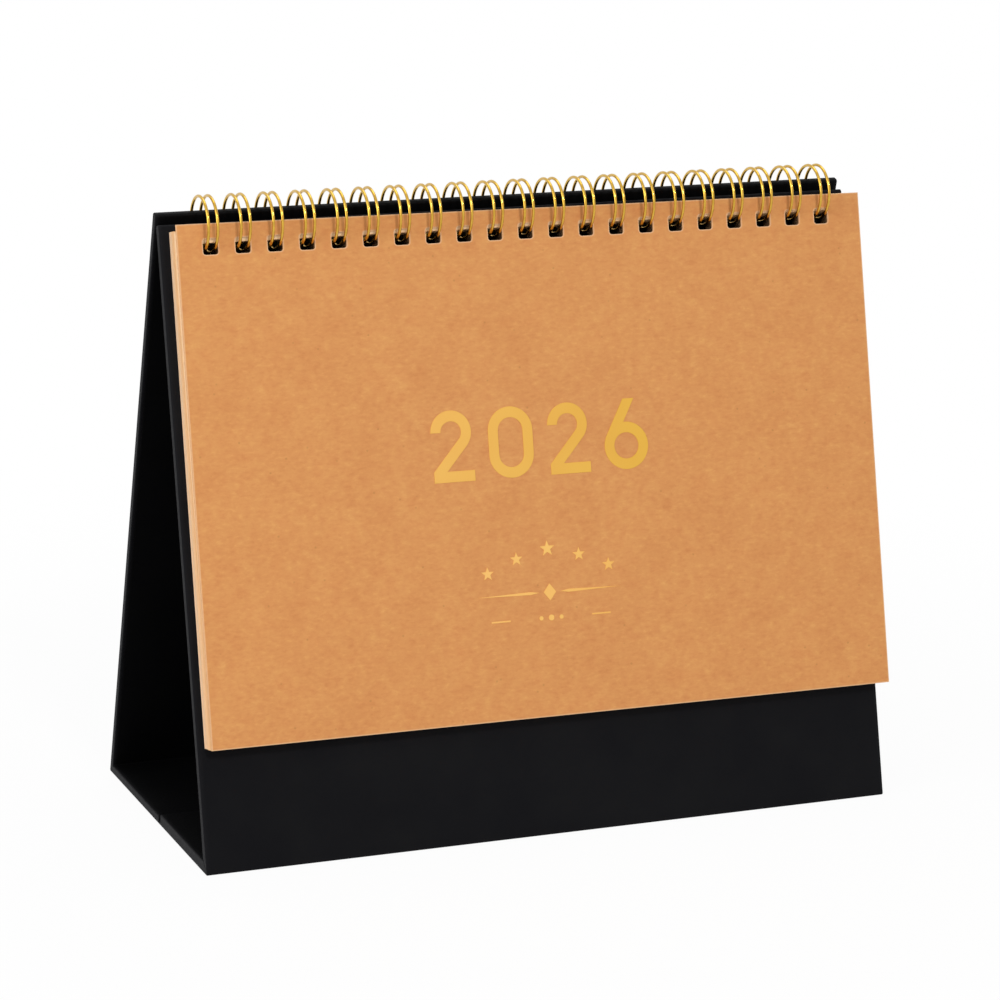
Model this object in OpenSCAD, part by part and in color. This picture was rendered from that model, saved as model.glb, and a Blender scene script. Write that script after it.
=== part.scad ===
// Flip desk calendar: a sheet pad hung on a twin-loop wire from a folded board easel.
// Millimetres, +Z up, the front faces -Y, the origin is the middle of the base's underside.

/* [Easel] */
// Width of the easel, left to right
stand_w = 190; // [150:1:240]
// Depth of the base, front fold to back fold
base_depth = 84.4; // [70:0.2:100]
// Length of the front board, bottom fold to top edge
front_len = 162.5; // [150:0.5:200]
// How much longer the back board is than the front board
back_rise = 2.2; // [0:0.1:4]
// How far behind the middle of the base the two top edges meet
apex_back = 0.6; // [-3:0.1:3]
// Gap between the two top edges
top_gap = 0.3; // [0.2:0.1:1]
// Thickness of a paper-wrapped board
board_t = 2.2; // [1.6:0.1:2.6]
// Thickness of the front half of the base, where the closing flap is glued on
lap_t = 3; // [2.6:0.1:4]
// Thickness of the bare wrapping paper that bridges the crease
wrap_t = 0.8; // [0.4:0.1:1]
// Width of the crease across the base
crease_w = 1.2; // [1:0.1:4]
// How far the crease lies in front of the middle of the base
crease_front = 2.5; // [-10:0.5:10]
// Radius of the wrapped folds at the foot
fold_r = 0.5; // [0.3:0.1:1.5]
// Radius of the wrapped top edges
edge_r = 0.7; // [0.3:0.1:0.7]

/* [Wire binding] */
// Number of twin loops
loop_count = 21; // [9:1:24]
// Distance from one twin loop to the next
loop_pitch = 8.4667; // [6.35:0.01:9]
// Radius of a loop, to the middle of the wire
ring_r = 7.1; // [6.8:0.1:7.6]
// Diameter of the wire
wire_d = 0.8; // [0.7:0.05:1]
// Distance between the two wires of a loop
twin_gap = 2.4; // [2:0.1:2.5]
// How far the middle of the loops lies below the front board's top edge
ring_below_top = 0.4; // [-0.5:0.1:1]
// How far the middle of the loops lies in front of the front board
ring_out = 0.7; // [0:0.05:1]
// How far the loops are set to the right of the easel's middle
row_shift = 1.4; // [-3:0.1:3]
// Where the closed seam starts, in degrees round from the lowest point of a loop
seam_start = 20; // [16:1:24]
// Clearance along the loop between the closed tip and the root of the wire
seam_gap = 0.3; // [0.1:0.05:0.5]
// Bend radius from a loop into the straight link to the next one
link_bend = 1; // [0.7:0.1:1.2]

/* [Sheets] */
// Width of the sheets
sheet_w = 189.4; // [150:0.2:240]
// Height of the cover sheet
cover_h = 130.7; // [90:0.1:150]
// Thickness of the cover sheet
cover_t = 0.4; // [0.3:0.05:0.6]
// Clearance between the cover sheet and the pages behind it
cover_gap = 0.1; // [0.05:0.05:0.3]
// Thickness of the pages together
pages_t = 3.8; // [2:0.1:4.5]
// How far the first page hangs below the cover's top edge
page_drop = 1.2; // [0.5:0.1:1.4]
// How much further the last page hangs below that, round the loops
page_fan = 0.45; // [0:0.05:1]
// How far the pages stop above the cover's bottom edge
page_short = 0.3; // [0:0.1:2]
// How far the cover is set to the right of the row of holes
sheet_shift = 1.4; // [-3:0.1:3]
// How far the pages are set to the right of the row of holes
page_shift = 0.8; // [-3:0.1:3]
// How far the hung cover is turned in its own plane, right side down, in degrees
sheet_skew = 0.3; // [0:0.05:0.4]
// The same turn of the pages
page_skew = 0.2; // [0:0.05:0.4]

/* [Punched holes] */
// Width of a punched hole
hole_w = 4; // [3.7:0.1:4.4]
// Height of a punched hole in the cover
hole_h = 4; // [3.8:0.1:4.6]
// Paper left between a hole and the cover's top edge
hole_edge = 3.8; // [3.4:0.1:5]
// How much taller the holes in the pages are, at their top
page_hole_extra = 0.5; // [0.2:0.05:1]
// Height of a punched hole in the boards
board_hole_h = 4.2; // [4:0.1:5]

/* [Foil print] */
// Thickness of the foil print
foil_t = 0.1; // [0.05:0.05:0.2]
// Height of the year's numerals
numeral_h = 18.3; // [12:0.1:24]
// Width of the round numerals, nought and six
numeral_w = 12.3; // [9:0.1:14]
// Width of a numeral two across its foot
two_w = 11.5; // [9:0.1:14]
// How much narrower the bow of a numeral two is than its foot
bow_inset = 0.4; // [0:0.1:2]
// Distance from one numeral to the next
numeral_pitch = 16.1; // [14.5:0.1:18]
// Width of the numerals' strokes
stroke_w = 2.75; // [1.6:0.05:3]
// Distance from the cover's top edge to the top of the numerals
year_top = 50.4; // [40:0.1:60]
// How far the print is set to the left of the cover's middle
print_shift = 1.35; // [-5:0.05:5]
// Number of stars
star_count = 5; // [3:2:7]
// Radius of the arc that the stars stand on
star_arc_r = 35; // [24:0.5:40]
// Angle from one star to the next on that arc
star_step = 14.4; // [12:0.1:18]
// How far the middle star stands above that arc
star_rise = 1; // [0:0.1:2]
// Radius of the middle star's points
star_r = 2.1; // [1.5:0.1:2.6]
// Share of a star's radius that its inner corners stand at
star_inner = 0.42; // [0.35:0.01:0.5]
// Share of the middle star that each other star measures
star_share = 0.86; // [0.6:0.02:1]
// Distance from the cover's top edge to the middle star
star_top = 87.5; // [80:0.1:95]
// Width of the divider below the stars
divider_w = 40; // [24:1:60]
// Height of the divider's middle lozenge
lozenge_h = 4.4; // [2:0.1:6]
// Width of the divider's middle lozenge
lozenge_w = 3.5; // [2:0.1:5]
// Gap between the lozenge and each arm of the divider
arm_gap = 1.2; // [0.6:0.1:2]
// Distance from the cover's top edge to the divider
divider_top = 98.7; // [95:0.1:101]
// Length of each short rule under the divider
rule_len = 5.2; // [3:0.1:8]
// Thickness of the rules
rule_w = 0.4; // [0.3:0.05:1]
// Distance between the two short rules
rule_gap = 22.8; // [12:0.1:30]
// Distance from the cover's top edge to the short rules
rule_top = 105.3; // [103:0.1:110]
// Radius of the two outer dots between the short rules
dot_r = 0.55; // [0.3:0.05:0.8]
// Radius of the middle dot
mid_dot_r = 0.75; // [0.3:0.05:1]
// Distance from the middle dot to each outer dot
dot_step = 2.8; // [2:0.1:4]

/* [Hidden] */
$fn = 48;
// Overlap that makes a cut or a joined piece run past its neighbour
past = 1;
wire_r = wire_d / 2;
back_len = front_len + back_rise;

// Lean of a board whose inner top edge ends at a given distance from its bottom fold
function lean(reach, len) = asin(reach / norm([len, board_t])) - atan(board_t / len);
front_lean = lean(base_depth / 2 + apex_back - top_gap / 2, front_len);
back_lean = lean(base_depth / 2 - apex_back - top_gap / 2, back_len);

// Middle of the loops in the YZ plane, set from the front board's top edge
ring_up = front_len - ring_below_top;
ring_y = -base_depth / 2 + ring_up * sin(front_lean) - ring_out * cos(front_lean);
ring_z = ring_up * cos(front_lean) + ring_out * sin(front_lean);

// Where a loop crosses a plane parallel to the front board, at a distance in front of it
function front_cross(out) = ring_up - sqrt(pow(ring_r, 2) - pow(out - ring_out, 2));
// The same for the back board: the loops' middle seen from the back board's bottom fold
back_ring_up = (base_depth / 2 - ring_y) * sin(back_lean) + ring_z * cos(back_lean);
back_ring_in = (base_depth / 2 - ring_y) * cos(back_lean) - ring_z * sin(back_lean);
function back_cross(in) = back_ring_up - sqrt(pow(ring_r, 2) - pow(back_ring_in - in, 2));

// Distances of the sheets' faces in front of the front board
cover_in = pages_t + cover_gap;
cover_out = cover_in + cover_t;
cover_row = front_cross(cover_in + cover_t / 2);
cover_top = hole_h / 2 + hole_edge;
cover_bottom = cover_top - cover_h;
page_top = cover_top - page_drop;
page_hole_top = page_top - hole_edge + page_hole_extra;
page_hole_bottom = page_top - hole_edge - hole_h;

function loop_x(i) = (i - (loop_count - 1) / 2) * loop_pitch;

// The front board's outer face: X across, Y up the board from the bottom fold, Z outwards
module on_front_board() {
    translate([0, -base_depth / 2, 0])
        rotate([90 - front_lean, 0, 0])
            children();
}

// The back board's outer face: X across, Y up the board from the bottom fold, Z inwards
module on_back_board() {
    translate([0, base_depth / 2, 0])
        rotate([90 + back_lean, 0, 0])
            children();
}

// Hung sheets: the origin is the middle of the cover's row of holes, on the board's face
module on_sheets(skew) {
    on_front_board()
        translate([row_shift, cover_row, 0])
            rotate([0, 0, -skew])
                children();
}

// The foil print: X from the print's middle, Y up from the cover's top edge
module on_print() {
    on_sheets(sheet_skew)
        translate([sheet_shift - print_shift, cover_top, cover_out])
            children();
}

// One punched hole for each loop, through Z from low to high
module punch_row(bottom, top, low, high) {
    for (i = [0 : loop_count - 1])
        translate([loop_x(i) - hole_w / 2, bottom, low])
            cube([hole_w, top - bottom, high - low]);
}

// Board from the fold to its wrapped free edge: X across its thickness, Y along its length
module board_section(len) {
    square([board_t, len - edge_r]);
    translate([edge_r, 0])
        square([board_t - 2 * edge_r, len]);
    for (x = [edge_r, board_t - edge_r])
        translate([x, len - edge_r])
            circle(edge_r);
}

// A leaning board with its rounded fold: X inwards from the fold, Y up
module leg_section(lean_angle, len, base_t) {
    // How far the rounded corner reaches along the board and along the base
    reach = fold_r / tan((90 - lean_angle) / 2);
    translate([reach, fold_r])
        circle(fold_r);
    translate([reach, 0])
        square([base_t + past, base_t]);
    rotate(-lean_angle)
        translate([0, reach])
            board_section(len - reach);
}

// The whole easel seen from its right end, in the YZ plane
module easel_section() {
    crease_y = -crease_front;
    translate([-base_depth / 2, 0])
        leg_section(front_lean, front_len, lap_t);
    translate([base_depth / 2, 0])
        mirror([1, 0])
            leg_section(back_lean, back_len, board_t);
    // Front half of the base, the bare crease, and the back half
    translate([-base_depth / 2 + lap_t, 0])
        square([base_depth / 2 - lap_t + crease_y - crease_w / 2, lap_t]);
    translate([-base_depth / 2 + lap_t, 0])
        square([base_depth - 2 * lap_t, wrap_t]);
    translate([crease_y + crease_w / 2, 0])
        square([base_depth / 2 - lap_t - crease_y - crease_w / 2, board_t]);
}

// One board, folded twice and creased across the base, wrapped in black paper
module easel_stand() {
    color("#17171a")
        difference() {
            rotate([90, 0, 90])
                linear_extrude(stand_w, center = true)
                    easel_section();
            on_front_board()
                translate([row_shift, front_cross(-board_t / 2) - board_hole_h / 2, 0])
                    punch_row(0, board_hole_h, -board_t - past, past);
            on_back_board()
                translate([row_shift, back_cross(board_t / 2) - board_hole_h / 2, 0])
                    punch_row(0, board_hole_h, -past, board_t + past);
        }
}

// Angles along a loop, counted from level at the back and up over the top
root_angle = 270 + seam_start;
tip_reach = (twin_gap / 2 + 2 * wire_r + seam_gap) / ring_r * 180 / PI;
tip_angle = -90 + seam_start + tip_reach;

// A place on a loop: X outwards, Y along the loop, Z across the easel
module on_loop(angle) {
    rotate([0, 0, angle])
        translate([ring_r, 0, 0])
            children();
}

// A bend of the wire that turns about the loop's outward direction
module wire_bend(radius, from, sweep) {
    rotate([0, 90, 0])
        rotate([0, 0, from])
            rotate_extrude(angle = sweep)
                translate([radius, 0])
                    circle(wire_r);
}

// A thin core along the loop that binds the two lengths of wire whose ends meet there
module loop_core(x) {
    translate([0, 0, x])
        rotate([90, 0, 0])
            cylinder(h = wire_r, r = wire_r / 2, center = true);
}

// Two wires round from the root to the tip, closed by the tip's turn
module twin_loop() {
    for (side = [-1, 1])
        translate([0, 0, side * twin_gap / 2])
            rotate([0, 0, tip_angle])
                rotate_extrude(angle = root_angle - tip_angle)
                    translate([ring_r, 0])
                        circle(wire_r);
    on_loop(tip_angle) {
        wire_bend(twin_gap / 2, 180, 180);
        for (side = [-1, 1])
            loop_core(side * twin_gap / 2);
    }
}

// The straight link that joins a loop's root to the next loop's, with cores that bind its ends
module root_link() {
    link_len = loop_pitch - twin_gap - 2 * link_bend;
    on_loop(root_angle) {
        translate([0, 0, twin_gap / 2 + link_bend])
            wire_bend(link_bend, 0, 90);
        translate([0, link_bend, twin_gap / 2 + link_bend])
            cylinder(h = link_len, r = wire_r);
        translate([0, 0, twin_gap / 2 + link_bend + link_len])
            wire_bend(link_bend, 90, 90);
        for (leg = [twin_gap / 2, loop_pitch - twin_gap / 2])
            loop_core(leg);
        for (end = [0, link_len])
            translate([0, link_bend, twin_gap / 2 + link_bend + end])
                cylinder(h = wire_r, r = wire_r / 2, center = true);
    }
}

// One wire, bent into a row of twin loops and closed inside the easel
module twin_loop_wire() {
    color("#d9a632")
        translate([row_shift, ring_y, ring_z])
            rotate([90, 0, 90]) {
                for (i = [0 : loop_count - 1])
                    translate([0, 0, loop_x(i)])
                        twin_loop();
                for (i = [0 : loop_count - 2])
                    translate([0, 0, loop_x(i)])
                        root_link();
            }
}

// A block of sheets seen from its right end: X forwards and Y up, fanned down towards the board
module fanned_section(bottom, top) {
    polygon([[0, bottom], [pages_t, bottom], [pages_t, top], [0, top - page_fan]]);
}

// All the month pages together, stepped at the top where they follow the loops
module page_block() {
    color("#f0cfa6")
        on_sheets(page_skew)
            translate([page_shift, 0, 0])
                difference() {
                    rotate([0, -90, 0])
                        linear_extrude(sheet_w, center = true)
                            fanned_section(cover_bottom + page_short, page_top);
                    for (i = [0 : loop_count - 1])
                        translate([loop_x(i) - page_shift, 0, 0])
                            rotate([0, -90, 0])
                                linear_extrude(hole_w, center = true)
                                    page_hole_section();
                }
}

// A punched hole that follows the fanned sheets, run past both faces at the same slope
module page_hole_section() {
    slope = page_fan / pages_t * past;
    polygon([
        [-past, page_hole_bottom - page_fan - slope],
        [pages_t + past, page_hole_bottom + slope],
        [pages_t + past, page_hole_top + slope],
        [-past, page_hole_top - page_fan - slope]
    ]);
}

// The kraft cover sheet with its row of square holes
module front_cover() {
    color("#d5955c")
        on_sheets(sheet_skew)
            difference() {
                translate([sheet_shift - sheet_w / 2, cover_bottom, cover_in])
                    cube([sheet_w, cover_h, cover_t]);
                punch_row(-hole_h / 2, hole_h / 2, cover_in - past, cover_out + past);
            }
}

// A straight stroke from a point at an angle, with square ends
module stroke(from, angle, len) {
    translate(from)
        rotate(angle)
            translate([0, -stroke_w / 2])
                square([len, stroke_w]);
}

// Numeral two: an arc, the diagonal that leaves it tangent, and the foot
module numeral_two() {
    // How far the diagonal leans from upright, in degrees
    turn = 42;
    arc_r = (two_w - bow_inset) / 2;
    middle = [arc_r, numeral_h - arc_r];
    leave = middle + (arc_r - stroke_w / 2) * [cos(turn), -sin(turn)];
    // Where the diagonal's left side comes down to the foot's top
    foot_left = leave[0] - (leave[1] - stroke_w) * tan(turn) - stroke_w / 2 / cos(turn);
    difference() {
        translate(middle)
            circle(arc_r);
        translate(middle)
            circle(arc_r - stroke_w);
        polygon([
            middle,
            middle + 2 * arc_r * [-1, 0],
            middle + 2 * arc_r * [-1, -2],
            middle + 2 * arc_r * [cos(turn), -2],
            middle + 2 * arc_r * [cos(turn), -sin(turn)]
        ]);
    }
    intersection() {
        stroke(leave, 270 - turn, numeral_h);
        translate([foot_left, 0])
            square([two_w, numeral_h]);
    }
    translate([foot_left, 0])
        square([two_w - foot_left, stroke_w]);
}

// Numeral nought: a rounded slot
module numeral_nought() {
    difference() {
        slot_outline(numeral_w / 2);
        slot_outline(numeral_w / 2 - stroke_w);
    }
}

// A slot with round ends, of a given half width, in the middle of the numeral's cell
module slot_outline(r) {
    low = numeral_w / 2;
    for (y = [low, numeral_h - low])
        translate([low, y])
            circle(r);
    translate([low - r, low])
        square([2 * r, numeral_h - 2 * low]);
}

// Numeral six: a ring and the stem that leaves it tangent
module numeral_six() {
    stem = 61;
    ring = numeral_w / 2;
    leave = [ring, ring] + (ring - stroke_w / 2) * [cos(stem + 90), sin(stem + 90)];
    difference() {
        translate([ring, ring])
            circle(ring);
        translate([ring, ring])
            circle(ring - stroke_w);
    }
    intersection() {
        stroke(leave, stem, numeral_h);
        square([numeral_w, numeral_h]);
    }
}

// The year in foil, four numerals across the middle of the cover
module foil_year() {
    color("#e3b248")
        on_print()
            translate([0, -year_top - numeral_h, 0])
                linear_extrude(foil_t) {
                    numeral_place(0, two_w)
                        numeral_two();
                    numeral_place(1, numeral_w)
                        numeral_nought();
                    numeral_place(2, two_w)
                        numeral_two();
                    numeral_place(3, numeral_w)
                        numeral_six();
                }
}

// The place of numeral i, counted from the left, whose own width is w
module numeral_place(i, w) {
    translate([(i - 1.5) * numeral_pitch - w / 2, 0])
        children();
}

// A five-pointed star with one point up
module star(r) {
    polygon([for (i = [0 : 9]) (i % 2 == 0 ? r : r * star_inner) * [sin(i * 36), cos(i * 36)]]);
}

// Upright stars in foil along a shallow arc, the middle one largest and raised
module foil_stars() {
    half = (star_count - 1) / 2;
    color("#e3b248")
        on_print()
            translate([0, -star_top - star_rise - star_arc_r, 0])
                linear_extrude(foil_t)
                    for (i = [-half : half])
                        translate(star_arc_r * [sin(i * star_step), cos(i * star_step)])
                            translate([0, i == 0 ? star_rise : 0])
                                star(i == 0 ? star_r : star_r * star_share);
}

// One arm of the divider, from the lozenge to its pointed end
module divider_arm() {
    start = lozenge_w / 2 + arm_gap;
    widest = start + 2 * arm_gap;
    polygon([[start, 0], [widest, rule_w], [divider_w / 2, 0], [widest, -rule_w]]);
}

// Plain ornament in foil: a divider with a lozenge, and two short rules with dots between
module foil_ornament() {
    color("#e3b248")
        on_print()
            linear_extrude(foil_t) {
                translate([0, -divider_top]) {
                    polygon([
                        [-lozenge_w / 2, 0], [0, -lozenge_h / 2], [lozenge_w / 2, 0], [0, lozenge_h / 2]
                    ]);
                    for (side = [0, 1])
                        mirror([side, 0])
                            divider_arm();
                }
                for (left = [-rule_gap / 2 - rule_len, rule_gap / 2])
                    translate([left, -rule_top - rule_w / 2])
                        square([rule_len, rule_w]);
                for (i = [-1 : 1])
                    translate([i * dot_step, -rule_top])
                        circle(i == 0 ? mid_dot_r : dot_r);
            }
}

easel_stand();
twin_loop_wire();
page_block();
front_cover();
foil_year();
foil_stars();
foil_ornament();
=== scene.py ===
"""Flip desk calendar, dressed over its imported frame.

A black paper-wrapped easel, a gold twin-loop wire, a stack of pages, a kraft cover sheet and
its gold foil print. Lengths are in millimetres until a mesh is made, and the frame is the
solids' own: +X to the right, +Y to the back, +Z up, the table at Z = 0.
"""

import bpy
import numpy as np
from mathutils import Matrix


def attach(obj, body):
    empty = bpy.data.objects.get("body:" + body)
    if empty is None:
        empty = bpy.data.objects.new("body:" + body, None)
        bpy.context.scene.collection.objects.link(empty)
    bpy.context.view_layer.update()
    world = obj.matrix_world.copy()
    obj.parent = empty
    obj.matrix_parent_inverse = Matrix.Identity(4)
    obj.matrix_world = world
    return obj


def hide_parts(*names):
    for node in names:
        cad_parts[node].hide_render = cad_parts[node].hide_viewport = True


MM = 0.001

# The easel, as in the solids
STAND_W = 190.0
BASE_DEPTH = 84.4
FRONT_LEN = 162.5
BACK_LEN = 164.7
APEX_BACK = 0.6
TOP_GAP = 0.3
BOARD_T = 2.2
LAP_T = 3.0
WRAP_T = 0.8
CREASE_W = 1.2
CREASE_FRONT = 2.5
FOLD_R = 0.5
EDGE_R = 0.7
BOARD_HOLE_H = 4.2

# The wire binding
LOOP_COUNT = 21
LOOP_PITCH = 8.4667
RING_R = 7.1
WIRE_R = 0.4
TWIN_GAP = 2.4
RING_BELOW_TOP = 0.4
RING_OUT = 0.7
ROW_SHIFT = 1.4
SEAM_START = 20.0
SEAM_GAP = 0.3
LINK_BEND = 1.0

# The sheets
SHEET_W = 189.4
COVER_H = 130.7
COVER_T = 0.4
COVER_GAP = 0.1
PAGES_T = 3.8
PAGE_DROP = 1.2
PAGE_FAN = 0.45
PAGE_SHORT = 0.3
SHEET_SHIFT = 1.4
PAGE_SHIFT = 0.8
SHEET_SKEW = 0.3
HOLE_W = 4.0
HOLE_H = 4.0
HOLE_EDGE = 3.8
PAGE_HOLE_EXTRA = 0.5


def board_lean(reach, length):
    """Angle of a board, in radians, whose inner top edge ends at a distance from its bottom fold."""
    return np.arcsin(reach / np.hypot(length, BOARD_T)) - np.arctan(BOARD_T / length)


FRONT_LEAN = board_lean(BASE_DEPTH / 2 + APEX_BACK - TOP_GAP / 2, FRONT_LEN)
BACK_LEAN = board_lean(BASE_DEPTH / 2 - APEX_BACK - TOP_GAP / 2, BACK_LEN)

RING_UP = FRONT_LEN - RING_BELOW_TOP
RING_Y = -BASE_DEPTH / 2 + RING_UP * np.sin(FRONT_LEAN) - RING_OUT * np.cos(FRONT_LEAN)
RING_Z = RING_UP * np.cos(FRONT_LEAN) + RING_OUT * np.sin(FRONT_LEAN)

COVER_IN = PAGES_T + COVER_GAP
COVER_OUT = COVER_IN + COVER_T
COVER_ROW = RING_UP - np.sqrt(RING_R ** 2 - (COVER_IN + COVER_T / 2 - RING_OUT) ** 2)
COVER_TOP = HOLE_H / 2 + HOLE_EDGE
COVER_BOTTOM = COVER_TOP - COVER_H
PAGE_TOP = COVER_TOP - PAGE_DROP

FRONT_HOLE_UP = RING_UP - np.sqrt(RING_R ** 2 - (BOARD_T / 2 + RING_OUT) ** 2)
BACK_RING_UP = (BASE_DEPTH / 2 - RING_Y) * np.sin(BACK_LEAN) + RING_Z * np.cos(BACK_LEAN)
BACK_RING_IN = (BASE_DEPTH / 2 - RING_Y) * np.cos(BACK_LEAN) - RING_Z * np.sin(BACK_LEAN)
BACK_HOLE_UP = BACK_RING_UP - np.sqrt(RING_R ** 2 - (BACK_RING_IN - BOARD_T / 2) ** 2)

LOOP_X = (np.arange(LOOP_COUNT) - (LOOP_COUNT - 1) / 2) * LOOP_PITCH


# Places

def on_front_board(x, up, out):
    """Point at x, at a distance up the front board from its fold, and out from its outer face."""
    s, c = np.sin(FRONT_LEAN), np.cos(FRONT_LEAN)
    return np.stack([x, -BASE_DEPTH / 2 + up * s - out * c, up * c + out * s], -1)


def on_back_board(x, up, inward):
    """Point at x, at a distance up the back board from its fold, and in from its outer face."""
    s, c = np.sin(BACK_LEAN), np.cos(BACK_LEAN)
    return np.stack([x, BASE_DEPTH / 2 - up * s - inward * c, up * c - inward * s], -1)


def on_sheet(across, up, out, skew):
    """Point on a hung sheet: across and up from the middle of the hole row, turned by its skew."""
    s, c = np.sin(np.radians(skew)), np.cos(np.radians(skew))
    return on_front_board(ROW_SHIFT + across * c + up * s, COVER_ROW - across * s + up * c, out)


# Meshes

def build_piece(name, points, faces, materials, body, face_material=None, smooth_angle=30.0):
    """Object at the origin whose vertices are the points, in millimetres, turned to metres."""
    mesh = bpy.data.meshes.new(name)
    mesh.from_pydata((np.asarray(points, float) * MM).tolist(), [], [list(f) for f in faces])
    for material in materials:
        mesh.materials.append(material)
    if face_material is not None:
        mesh.polygons.foreach_set("material_index", np.asarray(face_material, np.int32))
    mesh.polygons.foreach_set("use_smooth", np.ones(len(mesh.polygons), bool))
    mesh.validate()
    mesh.update()
    mesh.set_sharp_from_angle(angle=np.radians(smooth_angle))
    piece = bpy.data.objects.new(name, mesh)
    bpy.context.scene.collection.objects.link(piece)
    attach(piece, body)
    return piece


def point_values(piece, name, values):
    """One number for each point of the mesh, for a material to read by name."""
    attribute = piece.data.attributes.new(name, "FLOAT", "POINT")
    attribute.data.foreach_set("value", values)


def merge_points(points, faces):
    """Points that agree to a ten-thousandth of a millimetre become one, and faces follow. The odd
    offset keeps round numbers away from the borders between the rounded ones."""
    keys = np.round(points * 1e4 + 0.137).astype(np.int64)
    same = np.unique(keys, axis=0, return_index=True, return_inverse=True)
    return points[same[1]], same[2].reshape(-1)[faces]


def grid_quads(rows, columns):
    """Quads of a grid whose point (r, c) has the number r * columns + c."""
    r, c = np.meshgrid(np.arange(rows - 1), np.arange(columns - 1), indexing="ij")
    low = (r * columns + c).reshape(-1)
    return np.stack([low, low + 1, low + columns + 1, low + columns], -1)


def flat_grid(xs, ys):
    """Points and quads of a flat grid with the given stations across and up."""
    y, x = np.meshgrid(ys, xs, indexing="ij")
    return np.stack([x, y], -1).reshape(-1, 2), grid_quads(len(ys), len(xs))


def square_loop(x0, x1, y0, y1, steps):
    """Points round a rectangle from its lower left corner, the same number along each side."""
    t = np.arange(steps) / steps
    bottom = np.stack([x0 + (x1 - x0) * t, np.full(steps, y0)], -1)
    right = np.stack([np.full(steps, x1), y0 + (y1 - y0) * t], -1)
    top = np.stack([x1 - (x1 - x0) * t, np.full(steps, y1)], -1)
    left = np.stack([np.full(steps, x0), y1 - (y1 - y0) * t], -1)
    return np.concatenate([bottom, right, top, left])


def rounded_loop(x0, x1, y0, y1, radius, steps):
    """The same rectangle with each corner drawn in to a circle of the given radius: a point that is
    further than the radius from the rectangle's core, inset by the radius, comes back to it."""
    loop = square_loop(x0, x1, y0, y1, steps)
    middle = np.array([(x0 + x1) / 2, (y0 + y1) / 2])
    core = np.array([(x1 - x0) / 2 - radius, (y1 - y0) / 2 - radius])
    rel = loop - middle
    inside = np.clip(rel, -core, core)
    spoke = rel - inside
    reach = np.linalg.norm(spoke, axis=1, keepdims=True)
    return middle + inside + np.where(reach > radius, spoke * radius / np.maximum(reach, 1e-9), spoke)


def holed_sheet(left, right, bottom, top, hole_low, hole_high, corner, steps, lower_rows):
    """Flat sheet with one square hole for each loop.

    Each hole sits in a cell one pitch wide. The cell is two rings of quads between its own square
    outline and the hole's outline, and plain grids with the same stations fill the rest. The quads
    along every cut edge are as narrow as the band that the cut leaves on the paper.
    """
    margin = 1.6
    band = 0.35
    least_above = 0.8
    strip_low, strip_high = hole_low - margin, min(hole_high + margin, top - least_above)
    cells = np.linspace(LOOP_X[0] - LOOP_PITCH / 2, LOOP_X[-1] + LOOP_PITCH / 2,
                        LOOP_COUNT * steps + 1)
    xs = np.concatenate([[left], np.linspace(left + band, cells[0], 3)[:-1], cells,
                         np.linspace(cells[-1], right - band, 3)[1:], [right]])
    lower = np.concatenate([[bottom], np.linspace(bottom + band, strip_low, lower_rows)])
    strip = np.linspace(strip_low, strip_high, steps + 1)
    parts = [
        flat_grid(xs, lower),
        flat_grid(xs, np.array([strip_high, top - band, top])),
        flat_grid(xs[:4], strip),
        flat_grid(xs[-4:], strip),
    ]
    for x in LOOP_X:
        outer = square_loop(x - LOOP_PITCH / 2, x + LOOP_PITCH / 2, strip_low, strip_high, steps)
        left_side, right_side = x - HOLE_W / 2, x + HOLE_W / 2
        inner = rounded_loop(left_side, right_side, hole_low, hole_high, corner, steps)
        around = rounded_loop(left_side - band, right_side + band, hole_low - band, hole_high + band,
                              corner + band, steps)
        rings = np.stack([outer, around, inner])
        rings = np.concatenate([rings, rings[:, :1]], 1)
        quads = grid_quads(3, 4 * steps + 1)
        parts.append((rings.reshape(-1, 2), quads))
    points = np.concatenate([p for p, q in parts])
    starts = np.cumsum([0] + [len(p) for p, q in parts[:-1]])
    quads = np.concatenate([q + s for (p, q), s in zip(parts, starts)])
    return merge_points(points, quads)


def thicken(points, quads, low, high):
    """Closed plate from a flat sheet: its front at high, its back at low, and walls at open edges.
    The third result is 0 for a face, 1 for an outer edge and 2 for the wall of a punched hole, and
    the last one is 1 at each point on a cut edge."""
    count = len(points)
    front = np.column_stack([points, np.full(count, high)])
    back = np.column_stack([points, np.full(count, low)])
    edges = np.stack([quads, np.roll(quads, -1, 1)], -1).reshape(-1, 2)
    forward = edges[:, 0].astype(np.int64) * count + edges[:, 1]
    reverse = edges[:, 1].astype(np.int64) * count + edges[:, 0]
    rim = edges[~np.isin(forward, reverse)]
    walls = np.stack([rim[:, 0], rim[:, 0] + count, rim[:, 1] + count, rim[:, 1]], -1)
    middle = (points[rim[:, 0]] + points[rim[:, 1]]) / 2
    punched = np.all((middle > points.min(0) + 0.01) & (middle < points.max(0) - 0.01), 1)
    faces = np.concatenate([quads, quads[:, ::-1] + count, walls])
    kinds = np.concatenate([np.zeros(2 * len(quads), int), np.where(punched, 2, 1)])
    cut = np.isin(np.arange(count), rim).astype(float)
    return np.concatenate([front, back]), faces, kinds, np.concatenate([cut, cut])


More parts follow.
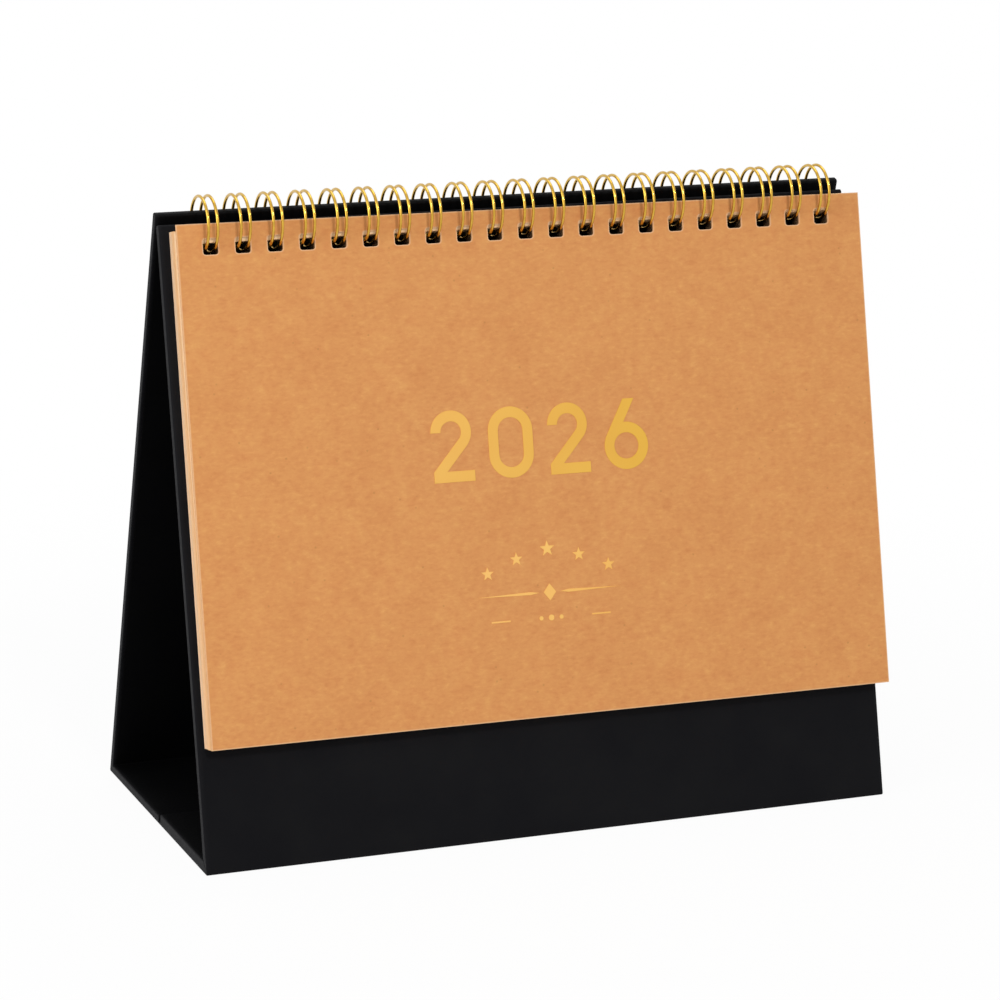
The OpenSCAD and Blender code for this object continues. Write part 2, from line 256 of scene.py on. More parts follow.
def swept_tube(path, normal, radius, sides):
    """Tube of round section along a path. Each section is a circle square to the path, whose first
    point lies towards the given normal, and the two ends close on a point."""
    ahead = np.gradient(path, axis=0)
    ahead /= np.linalg.norm(ahead, axis=1, keepdims=True)
    across = np.cross(ahead, normal)
    across /= np.linalg.norm(across, axis=1, keepdims=True)
    out = np.cross(across, ahead)
    turn = np.arange(sides) * 2 * np.pi / sides
    cos, sin = np.cos(turn)[None, :, None], np.sin(turn)[None, :, None]
    ring = cos * out[:, None] + sin * across[:, None]
    points = (path[:, None] + radius * ring).reshape(-1, 3)
    r, c = np.meshgrid(np.arange(len(path) - 1), np.arange(sides), indexing="ij")
    nxt = (c + 1) % sides
    near, far = r * sides, (r + 1) * sides
    quads = np.stack([near + c, far + c, far + nxt, near + nxt], -1)
    faces = [list(q) for q in quads.reshape(-1, 4)]
    first, last = len(points), len(points) + 1
    tips = np.stack([path[0] - ahead[0] * radius / 3, path[-1] + ahead[-1] * radius / 3])
    end = (len(path) - 1) * sides
    faces += [[first, i, (i + 1) % sides] for i in range(sides)]
    faces += [[last, end + (i + 1) % sides, end + i] for i in range(sides)]
    return np.concatenate([points, tips]), faces


# Colours and materials

def linear(hex_colour):
    """An sRGB hex colour as linear red, green, blue and alpha."""
    value = np.array([int(hex_colour[i:i + 2], 16) for i in (1, 3, 5)]) / 255
    rgb = np.where(value <= 0.04045, value / 12.92, ((value + 0.055) / 1.055) ** 2.4)
    return (*rgb.tolist(), 1.0)


def grey(value):
    """A plain number as a colour, for a ramp that carries a roughness."""
    return (value, value, value, 1.0)


def add_node(tree, kind, settings=None, **links):
    """A node of the given kind. Settings are attributes, or input values where they name a socket.
    Links are sockets to join, named with underscores for spaces, or i0, i1, i2 by their number."""
    node = tree.nodes.new(kind)
    for key, value in (settings or {}).items():
        if key in node.inputs.keys() or isinstance(key, int):
            node.inputs[key].default_value = value
        else:
            setattr(node, key, value)
    for key, source in links.items():
        by_number = key[0] == "i" and key[1:].isdigit()
        tree.links.new(source, node.inputs[int(key[1:]) if by_number else key.replace("_", " ")])
    return node


def new_material(name):
    """An empty material, and the tree to add its nodes to."""
    material = bpy.data.materials.new(name)
    material.use_nodes = True
    material.node_tree.nodes.clear()
    return material, material.node_tree


def finish_material(tree, surface):
    """Join the surface to the output."""
    output = tree.nodes.new("ShaderNodeOutputMaterial")
    tree.links.new(surface, output.inputs["Surface"])


def colour_ramp(tree, factor, stops):
    """A ramp node from a factor, with (position, colour) stops."""
    node = tree.nodes.new("ShaderNodeValToRGB")
    ramp = node.color_ramp
    while len(ramp.elements) < len(stops):
        ramp.elements.new(0.5)
    for element, (position, colour) in zip(ramp.elements, stops):
        element.position = position
        element.color = colour
    tree.links.new(factor, node.inputs["Fac"])
    return node


def blend_colour(tree, kind, factor, first, second):
    """Mix of two colours, each a socket or a value, by a factor that is a socket or a number."""
    node = tree.nodes.new("ShaderNodeMix")
    node.data_type = "RGBA"
    node.blend_type = kind
    for number, value in ((0, factor), (6, first), (7, second)):
        socket = node.inputs[number]
        if isinstance(value, bpy.types.NodeSocket):
            tree.links.new(value, socket)
        else:
            socket.default_value = value
    return node.outputs[2]


def cells(size):
    """Scale of a texture, in cells for each metre, whose cells are a size in millimetres."""
    return 1 / (size * MM)


def kraft_paper():
    """Brown kraft: unbleached wood pulp on a paper machine, so it shows soft clouds about 10 mm
    across, a formation of about 3 mm, short fibres that lie mostly across the sheet, and small dark
    shives of bark here and there. Along a cut edge a pale band is painted in, a painted highlight
    where the edge catches the light. A real fibre is about 0.03 mm wide, too fine to show here, so
    the fibres are drawn 0.87 mm wide."""
    material, tree = new_material("kraft_paper_unbleached")
    place = add_node(tree, "ShaderNodeTexCoord").outputs["Object"]
    clouds = add_node(tree, "ShaderNodeTexNoise",
                      {"Scale": cells(10.5), "Detail": 4.0, "Roughness": 0.55}, Vector=place)
    formation = add_node(tree, "ShaderNodeTexNoise",
                         {"Scale": cells(2.94), "Detail": 3.0, "Roughness": 0.6}, Vector=place)
    lay = add_node(tree, "ShaderNodeMapping", {"Scale": (0.5, 1.0, 1.0)}, Vector=place)
    fibres = add_node(tree, "ShaderNodeTexNoise",
                      {"Scale": cells(0.87), "Detail": 2.0, "Roughness": 0.6, "Distortion": 0.25},
                      Vector=lay.outputs[0])
    cloud_tone = colour_ramp(tree, clouds.outputs["Fac"], [(0.30, linear("#D9955A")),
                                                           (0.70, linear("#DE9B5E"))])
    formation_tone = colour_ramp(tree, formation.outputs["Fac"], [(0.30, linear("#ACACAC")),
                                                                  (0.72, linear("#CBCBCB"))])
    fibre_tone = colour_ramp(tree, fibres.outputs["Fac"], [(0.28, linear("#A6A6A6")),
                                                           (0.44, linear("#B8B8B8")),
                                                           (0.58, linear("#C0C0C0")),
                                                           (0.74, linear("#D2D2D2"))])
    tone = blend_colour(tree, "OVERLAY", 0.38, cloud_tone.outputs[0], formation_tone.outputs[0])
    tone = blend_colour(tree, "OVERLAY", 0.46, tone, fibre_tone.outputs[0])
    shives = add_node(tree, "ShaderNodeTexVoronoi", {"Scale": cells(4.76)}, Vector=place)
    shive_share = add_node(tree, "ShaderNodeMapRange", {"From Min": 0.03, "From Max": 0.08,
                                                        "To Min": 0.35, "To Max": 0.0},
                           Value=shives.outputs["Distance"])
    tone = blend_colour(tree, "MIX", shive_share.outputs[0], tone, linear("#A86F3C"))
    # Painted highlight: a pale band along each cut edge of the kraft.
    rim = add_node(tree, "ShaderNodeAttribute", {"attribute_name": "cut_rim"})
    painted_highlight_share = add_node(tree, "ShaderNodeMath", {"operation": "MULTIPLY", 1: 0.85},
                      i0=rim.outputs["Fac"])
    tone = blend_colour(tree, "MIX", painted_highlight_share.outputs[0], tone, linear("#F2CBA2"))
    bump = add_node(tree, "ShaderNodeBump", {"Strength": 0.25, "Distance": 0.00006},
                    Height=fibres.outputs["Fac"])
    shader = add_node(tree, "ShaderNodeBsdfPrincipled",
                      {"Roughness": 0.85, "Specular IOR Level": 0.15, "Sheen Weight": 0.04,
                       "Sheen Roughness": 0.5},
                      Base_Color=tone, Normal=bump.outputs[0])
    finish_material(tree, shader.outputs[0])
    return material


def cut_edge(name, low, high):
    """Guillotined or punched edge of a sheet: fibre ends in two close tones, rougher than the face,
    drawn 1.1 mm across because a real fibre's end is too fine to show. The tones carry painted
    light: a paler pair for a painted highlight on an edge, a dark pair for painted shade in a hole."""
    material, tree = new_material(name)
    place = add_node(tree, "ShaderNodeTexCoord").outputs["Object"]
    fibres = add_node(tree, "ShaderNodeTexNoise", {"Scale": cells(1.1), "Detail": 2.0}, Vector=place)
    tone = colour_ramp(tree, fibres.outputs["Fac"], [(0.3, linear(low)), (0.7, linear(high))])
    shader = add_node(tree, "ShaderNodeBsdfPrincipled",
                      {"Roughness": 0.9, "Specular IOR Level": 0.1}, Base_Color=tone.outputs[0])
    finish_material(tree, shader.outputs[0])
    return material


def page_paper():
    """Uncoated woodfree offset paper: cream, matt, with an even tooth, and warmer and a little darker
    in a narrow band along each cut edge. The real tooth is about 0.1 mm and is drawn at 0.71."""
    material, tree = new_material("offset_paper_cream")
    place = add_node(tree, "ShaderNodeTexCoord").outputs["Object"]
    tooth = add_node(tree, "ShaderNodeTexNoise", {"Scale": cells(0.714), "Detail": 2.0}, Vector=place)
    tone = colour_ramp(tree, tooth.outputs["Fac"], [(0.3, linear("#EFCFA5")),
                                                    (0.7, linear("#F4D8B2"))])
    rim = add_node(tree, "ShaderNodeAttribute", {"attribute_name": "cut_rim"})
    colour = blend_colour(tree, "MIX", rim.outputs["Fac"], tone.outputs[0], linear("#F0C596"))
    bump = add_node(tree, "ShaderNodeBump", {"Strength": 0.15, "Distance": 0.00004},
                    Height=tooth.outputs["Fac"])
    shader = add_node(tree, "ShaderNodeBsdfPrincipled",
                      {"Roughness": 0.85, "Specular IOR Level": 0.15},
                      Base_Color=colour, Normal=bump.outputs[0])
    finish_material(tree, shader.outputs[0])
    return material


def page_edges():
    """Guillotined edges of the leaves. The leaf_tone attribute runs from the rear leaf, cream, to
    the front ones, whose edges take on the warm tone of the kraft dust that the blade drags over
    them. Fibre ends are drawn 1.4 mm across, because the real ones are too fine to show."""
    material, tree = new_material("offset_paper_cut_edge")
    place = add_node(tree, "ShaderNodeTexCoord").outputs["Object"]
    leaf = add_node(tree, "ShaderNodeAttribute", {"attribute_name": "leaf_tone"})
    tone = colour_ramp(tree, leaf.outputs["Fac"], [(0.0, linear("#FBE2C8")),
                                                   (0.35, linear("#F6D0A8")),
                                                   (0.7, linear("#F8CD9E")),
                                                   (1.0, linear("#EDB67E"))])
    fibres = add_node(tree, "ShaderNodeTexNoise", {"Scale": cells(1.43), "Detail": 2.0}, Vector=place)
    speck = colour_ramp(tree, fibres.outputs["Fac"], [(0.3, linear("#AEAEAE")),
                                                      (0.7, linear("#CACACA"))])
    colour = blend_colour(tree, "OVERLAY", 0.3, tone.outputs[0], speck.outputs[0])
    shader = add_node(tree, "ShaderNodeBsdfPrincipled",
                      {"Roughness": 0.9, "Specular IOR Level": 0.1}, Base_Color=colour)
    finish_material(tree, shader.outputs[0])
    return material


def black_paper(name, low, high):
    """Black dyed book-cover paper glued over greyboard: an almost even matt black in two close
    tones, with a calendered grain and a slight grey bloom where it is bent round an end edge. The
    real grain is about 0.2 mm and is drawn at 0.77 so that it shows."""
    material, tree = new_material(name)
    place = add_node(tree, "ShaderNodeTexCoord").outputs["Object"]
    rim = add_node(tree, "ShaderNodeAttribute", {"attribute_name": "rim"})
    grain = add_node(tree, "ShaderNodeTexNoise",
                     {"Scale": cells(0.77), "Detail": 3.0, "Roughness": 0.6}, Vector=place)
    mottle = add_node(tree, "ShaderNodeTexNoise",
                      {"Scale": cells(16.7), "Detail": 3.0, "Roughness": 0.5}, Vector=place)
    base = colour_ramp(tree, mottle.outputs["Fac"], [(0.35, linear(low)), (0.65, linear(high))])
    worn = add_node(tree, "ShaderNodeMath", {"operation": "MULTIPLY"},
                    i0=rim.outputs["Fac"], i1=grain.outputs["Fac"])
    colour = blend_colour(tree, "MIX", worn.outputs[0], base.outputs[0], linear("#17171A"))
    gloss = colour_ramp(tree, grain.outputs["Fac"], [(0.3, grey(0.50)), (0.7, grey(0.62))])
    bump = add_node(tree, "ShaderNodeBump", {"Strength": 0.18, "Distance": 0.00005},
                    Height=grain.outputs["Fac"])
    shader = add_node(tree, "ShaderNodeBsdfPrincipled", {"Specular IOR Level": 0.06},
                      Base_Color=colour, Roughness=gloss.outputs[0], Normal=bump.outputs[0])
    finish_material(tree, shader.outputs[0])
    return material


def gold_wire():
    """Drawn steel wire with a thin gold lacquer coat: metal under a clear coat, bright where it
    faces the lamps and dark where it mirrors the black boards, in tones that change about every
    1.4 mm along it."""
    material, tree = new_material("binding_wire_gold_coated")
    place = add_node(tree, "ShaderNodeTexCoord").outputs["Object"]
    draw = add_node(tree, "ShaderNodeTexNoise", {"Scale": cells(1.43), "Detail": 2.0}, Vector=place)
    tone = colour_ramp(tree, draw.outputs["Fac"], [(0.3, linear("#C49A38")),
                                                   (0.7, linear("#D6AE46"))])
    rough = colour_ramp(tree, draw.outputs["Fac"], [(0.3, grey(0.14)), (0.7, grey(0.2))])
    shader = add_node(tree, "ShaderNodeBsdfPrincipled",
                      {"Metallic": 1.0, "Coat Weight": 0.2, "Coat Roughness": 0.12},
                      Base_Color=tone.outputs[0], Roughness=rough.outputs[0])
    finish_material(tree, shader.outputs[0])
    return material


def gold_foil(name, left, right):
    """Hot-stamped foil: a metal film pressed into kraft by a heated die, so it is bright and
    slightly satin, and the paper's tooth still shows through it, drawn at 0.91 mm. Its tone runs
    from the left colour to the right one across the numerals, lighter on the left: a painted light
    fall-off. The die's faintly uneven pressure shows about every 17 mm."""
    material, tree = new_material(name)
    place = add_node(tree, "ShaderNodeTexCoord").outputs["Object"]
    tooth = add_node(tree, "ShaderNodeTexNoise", {"Scale": cells(0.91), "Detail": 2.0}, Vector=place)
    sweep = add_node(tree, "ShaderNodeTexNoise", {"Scale": cells(16.7), "Detail": 1.0}, Vector=place)
    # Painted light: the tone is lighter at the left of the numerals and darker at the right.
    across = add_node(tree, "ShaderNodeSeparateXYZ", None, Vector=place)
    share = add_node(tree, "ShaderNodeMapRange", {"From Min": -0.029, "From Max": 0.032},
                     Value=across.outputs["X"])
    tone = colour_ramp(tree, share.outputs[0], [(0.0, linear(left)), (1.0, linear(right))])
    press = colour_ramp(tree, sweep.outputs["Fac"], [(0.35, linear("#B6B6B6")),
                                                     (0.65, linear("#C2C2C2"))])
    colour = blend_colour(tree, "OVERLAY", 0.5, tone.outputs[0], press.outputs[0])
    bump = add_node(tree, "ShaderNodeBump", {"Strength": 0.25, "Distance": 0.00005},
                    Height=tooth.outputs["Fac"])
    shader = add_node(tree, "ShaderNodeBsdfPrincipled", {"Metallic": 1.0, "Roughness": 0.36},
                      Base_Color=colour, Normal=bump.outputs[0])
    finish_material(tree, shader.outputs[0])
    return material


# Pieces

def arc(centre, radius, start, stop, count):
    """Points on a circle from one angle to another, both in degrees and both ends kept."""
    t = np.radians(np.linspace(start, stop, count))
    return centre + radius * np.stack([np.cos(t), np.sin(t)], -1)


def leaning_leg(lean, length, hole_up):
    """Outer and inner outline of one board, from its top edge down, in its own plane: X inwards
    from the fold and Y up. The two outlines have the same number of points."""
    low, high = hole_up - BOARD_HOLE_H / 2, hole_up + BOARD_HOLE_H / 2
    stations = np.array([high, low, length - 16.0, length - 60.0, 40.0, 12.0, 4.0])
    outer = np.concatenate([
        [[EDGE_R, length]],
        arc(np.array([EDGE_R, length - EDGE_R]), EDGE_R, 105, 180, 6),
        np.column_stack([np.zeros(len(stations)), stations]),
    ])
    inner = np.concatenate([
        [[BOARD_T - EDGE_R, length]],
        arc(np.array([BOARD_T - EDGE_R, length - EDGE_R]), EDGE_R, 75, 0, 6),
        np.column_stack([np.full(len(stations), BOARD_T), stations]),
    ])
    turn = np.array([[np.cos(lean), -np.sin(lean)], [np.sin(lean), np.cos(lean)]])
    return outer @ turn, inner @ turn


def easel_outline():
    """Outer and inner outline of the easel's section, in the YZ plane, from the front board's top
    edge down, back along the base and up to the back board's top edge, point for point."""
    front_out, front_in = leaning_leg(FRONT_LEAN, FRONT_LEN, FRONT_HOLE_UP)
    back_out, back_in = leaning_leg(BACK_LEAN, BACK_LEN, BACK_HOLE_UP)

    def foot(lean, base_t):
        """The rounded fold outside and the inner corner, from the board to the base."""
        reach = FOLD_R / np.tan((np.pi / 2 - lean) / 2)
        out = arc(np.array([reach, FOLD_R]), FOLD_R, 180 - np.degrees(lean), 270, 9)
        up = (BOARD_T / np.cos(lean)) + base_t * np.tan(lean)
        corner = np.array([up, base_t])
        fillet = 0.5
        along = np.array([np.sin(lean), np.cos(lean)])
        t = np.linspace(0, 1, 9)[:, None]
        first, last = corner + along * fillet, corner + np.array([fillet, 0])
        inner = (1 - t) ** 2 * first + 2 * t * (1 - t) * corner + t ** 2 * last
        return out, inner

    front_foot_out, front_foot_in = foot(FRONT_LEAN, LAP_T)
    back_foot_out, back_foot_in = foot(BACK_LEAN, BOARD_T)
    crease = -CREASE_FRONT
    nose = 0.45
    front_stop, back_stop = crease - CREASE_W / 2, crease + CREASE_W / 2
    t = np.linspace(0, 90, 5)
    front_nose = np.array([front_stop - nose, LAP_T - nose]) + nose * np.stack(
        [np.sin(np.radians(t)), np.cos(np.radians(t))], -1)
    back_nose = np.array([back_stop + nose, BOARD_T - nose]) + nose * np.stack(
        [-np.cos(np.radians(t)), np.sin(np.radians(t))], -1)
    base_in = np.concatenate([
        [[-30.0, LAP_T], [-12.0, LAP_T]], front_nose, [[front_stop + 0.02, WRAP_T]],
        [[back_stop - 0.02, WRAP_T]], back_nose, [[12.0, BOARD_T], [30.0, BOARD_T]]])
    base_out = base_in * [1, 0]
    half = BASE_DEPTH / 2
    outer = np.concatenate([front_out + [-half, 0], front_foot_out + [-half, 0], base_out,
                            (back_foot_out * [-1, 1] + [half, 0])[::-1],
                            (back_out * [-1, 1] + [half, 0])[::-1]])
    inner = np.concatenate([front_in + [-half, 0], front_foot_in + [-half, 0], base_in,
                            (back_foot_in * [-1, 1] + [half, 0])[::-1],
                            (back_in * [-1, 1] + [half, 0])[::-1]])
    return outer, inner


def drawn_in(loop, distance):
    """A closed outline moved inwards by a distance, each corner along its mitre."""
    before = loop - np.roll(loop, 1, 0)
    after = np.roll(loop, -1, 0) - loop
    turn = np.array([[0, 1], [-1, 0]])
    n0 = (before / np.linalg.norm(before, axis=1, keepdims=True)) @ turn
    n1 = (after / np.linalg.norm(after, axis=1, keepdims=True)) @ turn
    mid = n0 + n1
    mid /= np.maximum(np.linalg.norm(mid, axis=1, keepdims=True), 1e-9)
    stretch = 1 / np.maximum((mid * n1).sum(1, keepdims=True), 0.6)
    return loop + mid * distance * stretch


def make_easel(outside, inside):
    """The folded easel: its section carried across in stations, with the wrapped end edges rounded,
    a square hole left open wherever a loop passes through a board, and walls put into each hole.
    One paper covers its outside, and the inside takes a darker copy of it, painted shade."""
    outer, inner = easel_outline()
    count = len(outer)
    loop = np.concatenate([outer, inner[::-1]])
    size = len(loop)
    end_r = 0.28
    t = np.radians(np.linspace(0, 90, 5))
    end_x = STAND_W / 2 - end_r + end_r * np.sin(t)
    end_in = end_r * (1 - np.cos(t))
    hole_x = np.sort(np.concatenate([LOOP_X - HOLE_W / 2, LOOP_X + HOLE_W / 2])) + ROW_SHIFT
    middle = np.concatenate([[-STAND_W / 2 + 3, -STAND_W / 2 + 1.2], hole_x,
                             [STAND_W / 2 - 3, STAND_W / 2 - 1.2]])
    middle = np.sort(middle)
    xs = np.concatenate([-end_x[::-1], middle, end_x])
    draws = np.concatenate([end_in[::-1], np.zeros(len(middle)), end_in])
    rings = [np.column_stack([np.full(size, x), drawn_in(loop, d)]) for x, d in zip(xs, draws)]
    points = np.concatenate(rings)
    # Quads between neighbouring stations, with the loop closed
    r, c = np.meshgrid(np.arange(len(xs) - 1), np.arange(size), indexing="ij")
    nxt = (c + 1) % size
    quads = np.stack([r * size + c, r * size + nxt, (r + 1) * size + nxt, (r + 1) * size + c], -1)
    centre = (xs[:-1] + xs[1:]) / 2
    over_hole = np.min(np.abs(centre[:, None] - (LOOP_X + ROW_SHIFT)[None]), 1) < HOLE_W / 2 - 0.1
    # The segment of each outline that spans a hole: the first two stations under the rounded top
    first = 7
    last = count - 1 - first - 1
    spans = [first, last, size - 1 - first - 1, size - 1 - last - 1]
    keep = np.ones(quads.shape[:2], bool)
    for span in spans:
        keep[over_hole, span] = False
    faces = [list(q) for q in quads[keep]]
    inner_side = np.broadcast_to(np.arange(size) >= count, keep.shape)[keep]
    for station in np.nonzero(over_hole)[0]:
        near, far = station * size, (station + 1) * size
        for a in (first, last):
            b = a + 1
            ai, bi = size - 1 - a, size - 1 - b
            faces += [[near + a, near + b, near + bi, near + ai],
                      [far + b, far + a, far + ai, far + bi],
                      [near + a, near + ai, far + ai, far + a],
                      [near + bi, near + b, far + b, far + bi]]
    # End caps between the paired outlines
    for base, order in ((0, 1), ((len(xs) - 1) * size, -1)):
        for i in range(count - 1):
            cap = [base + i, base + i + 1, base + size - 2 - i, base + size - 1 - i]
            faces.append(cap[::order])
    # Inner faces take the second, darker paper: painted shade inside the easel.
    face_material = np.zeros(len(faces), int)
    face_material[:len(inner_side)] = inner_side
    piece = build_piece("easel_wrapped", points, faces, [outside, inside], "stand",
                        face_material=face_material)
    rim = np.repeat(np.where(np.abs(xs) > STAND_W / 2 - 0.5, 1.0, 0.0), size)
    point_values(piece, "rim", rim)
    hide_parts("easel_stand")


def wire_path():
    """Centre line of the wire and its outward direction at each point.

    Seen along X the line runs on a circle round the loops' centre: up one leg from the root, over
    the top, down to the tip, across the tip in a half circle, and back along the other leg. At the
    root it bends into a straight link to the next loop.
    """
    root = np.radians(270 + SEAM_START)
    tip = np.radians(-90 + SEAM_START) + (TWIN_GAP / 2 + 2 * WIRE_R + SEAM_GAP) / RING_R
    half = TWIN_GAP / 2
    leg = np.linspace(root, tip, 112)
    turn = np.linspace(0, np.pi, 12)[1:-1]
    bend = np.linspace(0, np.pi / 2, 7)[1:]
    rows = []
    for i, x in enumerate(LOOP_X):
        rows.append(np.column_stack([leg, np.zeros(len(leg)), np.full(len(leg), x - half)]))
        rows.append(np.column_stack([np.full(len(turn), tip), -half * np.sin(turn),
                                     x - half * np.cos(turn)]))
        rows.append(np.column_stack([leg[::-1], np.zeros(len(leg)), np.full(len(leg), x + half)]))
        if i < LOOP_COUNT - 1:
            away = np.column_stack([np.full(len(bend), root), LINK_BEND * np.sin(bend),
                                    x + half + LINK_BEND * (1 - np.cos(bend))])
            mirrored = away[::-1].copy()
            mirrored[:, 2] = 2 * x + LOOP_PITCH - mirrored[:, 2]
            rows.append(away)
            rows.append(mirrored)
    angle, along, x = np.concatenate(rows).T
    out = np.stack([np.zeros_like(angle), np.cos(angle), np.sin(angle)], -1)
    tangent = np.stack([np.zeros_like(angle), -np.sin(angle), np.cos(angle)], -1)
    centre = np.stack([x + ROW_SHIFT, np.full_like(x, RING_Y), np.full_like(x, RING_Z)], -1)
    return centre + RING_R * out + along[:, None] * tangent, out


def make_wire(material):
    """The twin-loop wire, one tube from end to end."""
    path, out = wire_path()
    points, faces = swept_tube(path, out, WIRE_R, 14)
    piece = build_piece("wire_binding", points, faces, [material], "stand",
                        smooth_angle=60.0)
    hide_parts("twin_loop_wire")


def make_pages(face_paper, edge_paper, punched):
    """The month pages as single leaves. Each leaf nearer the board hangs a little lower, where the
    loops carry it further round, and is turned a little further. Its edges stand a little in."""
    leaves = 13
    leaf_gap = 0.02
    rear_skew, front_skew = 0.34, 0.08
    rng = np.random.default_rng(4)
    step = PAGES_T / leaves
    inset = rng.uniform(0.0, 0.14, (leaves, 3))
    all_points, all_faces, all_kinds, all_cuts, tones, start = [], [], [], [], [], 0
    for i in range(leaves):
        share = i / (leaves - 1)
        low, high = i * step, (i + 1) * step - leaf_gap
        drop = PAGE_FAN * (1 - (low + high) / 2 / PAGES_T)
        top = PAGE_TOP - drop
        left = PAGE_SHIFT - SHEET_W / 2 + inset[i, 0]
        right = PAGE_SHIFT + SHEET_W / 2 - inset[i, 1]
        bottom = COVER_BOTTOM + PAGE_SHORT + inset[i, 2]
        hole_low, hole_high = top - HOLE_EDGE - HOLE_H, top - HOLE_EDGE + PAGE_HOLE_EXTRA
        flat, quads = holed_sheet(left, right, bottom, top, hole_low, hole_high, 0.4, 4, 4)
        plate, faces, kinds, cut = thicken(flat, quads, low, high)
        skew = rear_skew + (front_skew - rear_skew) * share
        all_points.append(on_sheet(plate[:, 0], plate[:, 1], plate[:, 2], skew))
        all_faces.append(faces + start)
        all_kinds.append(kinds)
        all_cuts.append(cut)
        tones.append(np.full(len(plate), share))
        start += len(plate)
    # The third material goes on the punched hole walls and is painted shade.
    piece = build_piece("month_pages", np.concatenate(all_points), np.concatenate(all_faces),
                        [face_paper, edge_paper, punched], "stand",
                        face_material=np.concatenate(all_kinds))
    point_values(piece, "leaf_tone", np.concatenate(tones))
    point_values(piece, "cut_rim", np.concatenate(all_cuts))
    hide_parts("page_block")


def make_cover(face_paper, edge_paper):
    """The kraft cover sheet with its punched holes."""
    flat, quads = holed_sheet(SHEET_SHIFT - SHEET_W / 2, SHEET_SHIFT + SHEET_W / 2, COVER_BOTTOM,
                              COVER_TOP, -HOLE_H / 2, HOLE_H / 2, 0.7, 12, 12)
    plate, faces, kinds, cut = thicken(flat, quads, COVER_IN, COVER_OUT)
    points = on_sheet(plate[:, 0], plate[:, 1], plate[:, 2], SHEET_SKEW)
    piece = build_piece("kraft_cover", points, faces, [face_paper, edge_paper], "cover",
                        face_material=np.minimum(kinds, 1))
    # On the cover, cut_rim carries a painted highlight along each cut edge.
    point_values(piece, "cut_rim", cut)
    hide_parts("front_cover")


# Floor, light and camera

def seen_ray(tree):
    """1 for what the camera sees, also in mirrors and through glass, and 0 for light."""
    ray = add_node(tree, "ShaderNodeLightPath").outputs
    mirrored = add_node(tree, "ShaderNodeMath", {"operation": "MAXIMUM"},
                        i0=ray["Is Glossy Ray"], i1=ray["Is Transmission Ray"])
    seen = add_node(tree, "ShaderNodeMath", {"operation": "MAXIMUM"},
                    i0=ray["Is Camera Ray"], i1=mirrored.outputs[0])
    return seen.outputs[0]


def make_floor():
    """White studio floor. What the camera sees is mostly plain white, and wholly white from some
    way off, so the object's soft shadow stays on it but no lamp's fall-off shows."""
    material, tree = new_material("studio_floor_white")
    place = add_node(tree, "ShaderNodeTexCoord").outputs["Object"]
    away = add_node(tree, "ShaderNodeVectorMath", {"operation": "LENGTH"}, i0=place)
    white_share = add_node(tree, "ShaderNodeMapRange",
                           {"interpolation_type": "SMOOTHSTEP", "From Min": 0.12, "From Max": 0.36,
                            "To Min": 0.95, "To Max": 1.0}, Value=away.outputs["Value"])
    share = add_node(tree, "ShaderNodeMath", {"operation": "MULTIPLY"},
                     i0=seen_ray(tree), i1=white_share.outputs[0])
    paper = add_node(tree, "ShaderNodeBsdfDiffuse", {"Color": linear("#F4F4F4")})
    white = add_node(tree, "ShaderNodeEmission", {"Color": (1, 1, 1, 1), "Strength": 1.0})
    mix = add_node(tree, "ShaderNodeMixShader", None, i0=share.outputs[0], i1=paper.outputs[0],
                   i2=white.outputs[0])
    finish_material(tree, mix.outputs[0])
    side = 3.0
    mesh = bpy.data.meshes.new("studio_floor")
    corners = np.array([[-side, -side, 0], [side, -side, 0], [side, side, 0], [-side, side, 0]])
    mesh.from_pydata(corners.tolist(), [], [[0, 1, 2, 3]])
    mesh.materials.append(material)
    floor = bpy.data.objects.new("studio_floor", mesh)
    bpy.context.scene.collection.objects.link(floor)


def make_world():
    """White to the camera and in mirrors, a plain soft grey-white as light."""
    world = bpy.data.worlds.new("studio_world")
    bpy.context.scene.world = world
    world.use_nodes = True
    tree = world.node_tree
    tree.nodes.clear()
    light = add_node(tree, "ShaderNodeBackground", {"Color": (1, 1, 1, 1), "Strength": 0.34})
    white = add_node(tree, "ShaderNodeBackground", {"Color": (1, 1, 1, 1), "Strength": 1.0})
    mix = add_node(tree, "ShaderNodeMixShader", None, i0=seen_ray(tree), i1=light.outputs[0],
                   i2=white.outputs[0])
    output = add_node(tree, "ShaderNodeOutputWorld")
    tree.links.new(mix.outputs[0], output.inputs["Surface"])


def add_softbox(name, place, target, size, power):
    """Square area lamp at a place, turned towards a target; lengths in metres, power in watts."""
    light = bpy.data.lights.new(name, "AREA")
    light.shape = "SQUARE"
    light.size = size
    light.energy = power
    lamp = bpy.data.objects.new(name, light)
    bpy.context.scene.collection.objects.link(lamp)
    back = np.array(place, float) - np.array(target, float)
    back /= np.linalg.norm(back)
    right = np.cross([0, 0, 1], back)
    right /= np.linalg.norm(right)
    up = np.cross(back, right)
    matrix = np.eye(4)
    matrix[:3, :3] = np.stack([right, up, back], 1)
    matrix[:3, 3] = place
    lamp.matrix_world = Matrix(matrix.tolist())


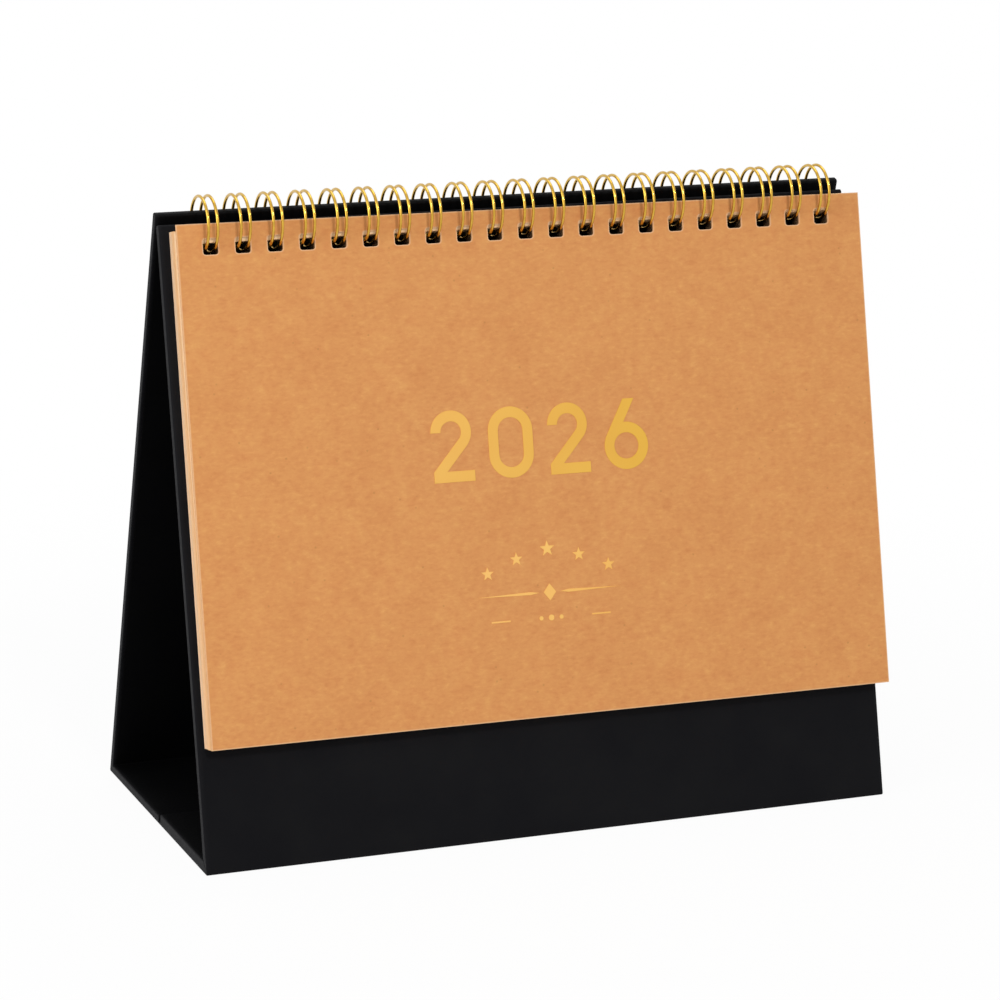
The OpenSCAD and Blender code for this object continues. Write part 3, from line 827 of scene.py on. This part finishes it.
def make_camera():
    """Camera found from the easel's corners: its place, its view direction, its roll, and a lens
    whose focal length is 3774.73 pixels of a frame 1000 pixels wide."""
    azimuth, elevation, roll = np.radians([-22.64, 15.13, 1.39])
    place = np.array([-369.74, -884.72, 337.91]) * MM
    back = np.array([np.sin(azimuth) * np.cos(elevation), -np.cos(azimuth) * np.cos(elevation),
                     np.sin(elevation)])
    right = np.cross(-back, [0, 0, 1])
    right /= np.linalg.norm(right)
    up = np.cross(right, -back)
    right, up = (right * np.cos(roll) + up * np.sin(roll), up * np.cos(roll) - right * np.sin(roll))
    data = bpy.data.cameras.new("photo_camera")
    data.sensor_width = 36.0
    data.lens = 3774.73 / 1000 * 36.0
    data.clip_start = 0.01
    data.clip_end = 50.0
    camera = bpy.data.objects.new("photo_camera", data)
    bpy.context.scene.collection.objects.link(camera)
    matrix = np.eye(4)
    matrix[:3, :3] = np.stack([right, up, back], 1)
    matrix[:3, 3] = place
    camera.matrix_world = Matrix(matrix.tolist())
    bpy.context.scene.camera = camera


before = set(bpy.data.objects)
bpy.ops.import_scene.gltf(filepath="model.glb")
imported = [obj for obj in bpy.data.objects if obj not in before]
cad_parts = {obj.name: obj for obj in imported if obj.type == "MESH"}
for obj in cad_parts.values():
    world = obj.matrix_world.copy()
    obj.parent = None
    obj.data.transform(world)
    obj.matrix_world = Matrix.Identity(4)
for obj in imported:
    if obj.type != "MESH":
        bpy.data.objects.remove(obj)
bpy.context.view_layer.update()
bpy.context.scene.view_settings.view_transform = "Standard"

make_camera()
make_floor()
make_world()
add_softbox("softbox_key", (-0.08, -1.2, 1.1), (0, 0, 0.08), 0.17, 8.0)
add_softbox("softbox_left", (-1.3, -0.4, 0.7), (0, 0, 0.08), 1.0, 9.4)
add_softbox("softbox_top", (0.1, 0.5, 1.4), (0, 0, 0.08), 0.8, 4.2)

# The foil tones run lighter on the left than on the right: a painted light fall-off.
year_foil = gold_foil("hot_stamped_foil_gold_painted_falloff", "#E7B25D", "#DFAC48")
small_foil = gold_foil("hot_stamped_foil_gold_small_print", "#F2C072", "#ECB660")
foils = {"foil_year": year_foil, "foil_stars": small_foil, "foil_ornament": small_foil}
for node_name, foil in foils.items():
    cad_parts[node_name].data.materials.clear()
    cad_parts[node_name].data.materials.append(foil)
# The inside paper is a darker copy of the outside one: painted shade inside the easel.
make_easel(black_paper("cover_paper_black", "#0E0E11", "#121214"),
           black_paper("black_paper_inside_painted_shade", "#050506", "#070708"))
make_wire(gold_wire())
# The pages' punched hole walls are painted dark brown: painted shade inside the holes.
make_pages(page_paper(), page_edges(), cut_edge("offset_paper_punched_painted_shade", "#46362A", "#5C4834"))
# The cover's cut edge walls are paler than its face: a painted highlight along the edges.
make_cover(kraft_paper(), cut_edge("kraft_paper_cut_edge_painted_highlight", "#DFA46E", "#EDB986"))
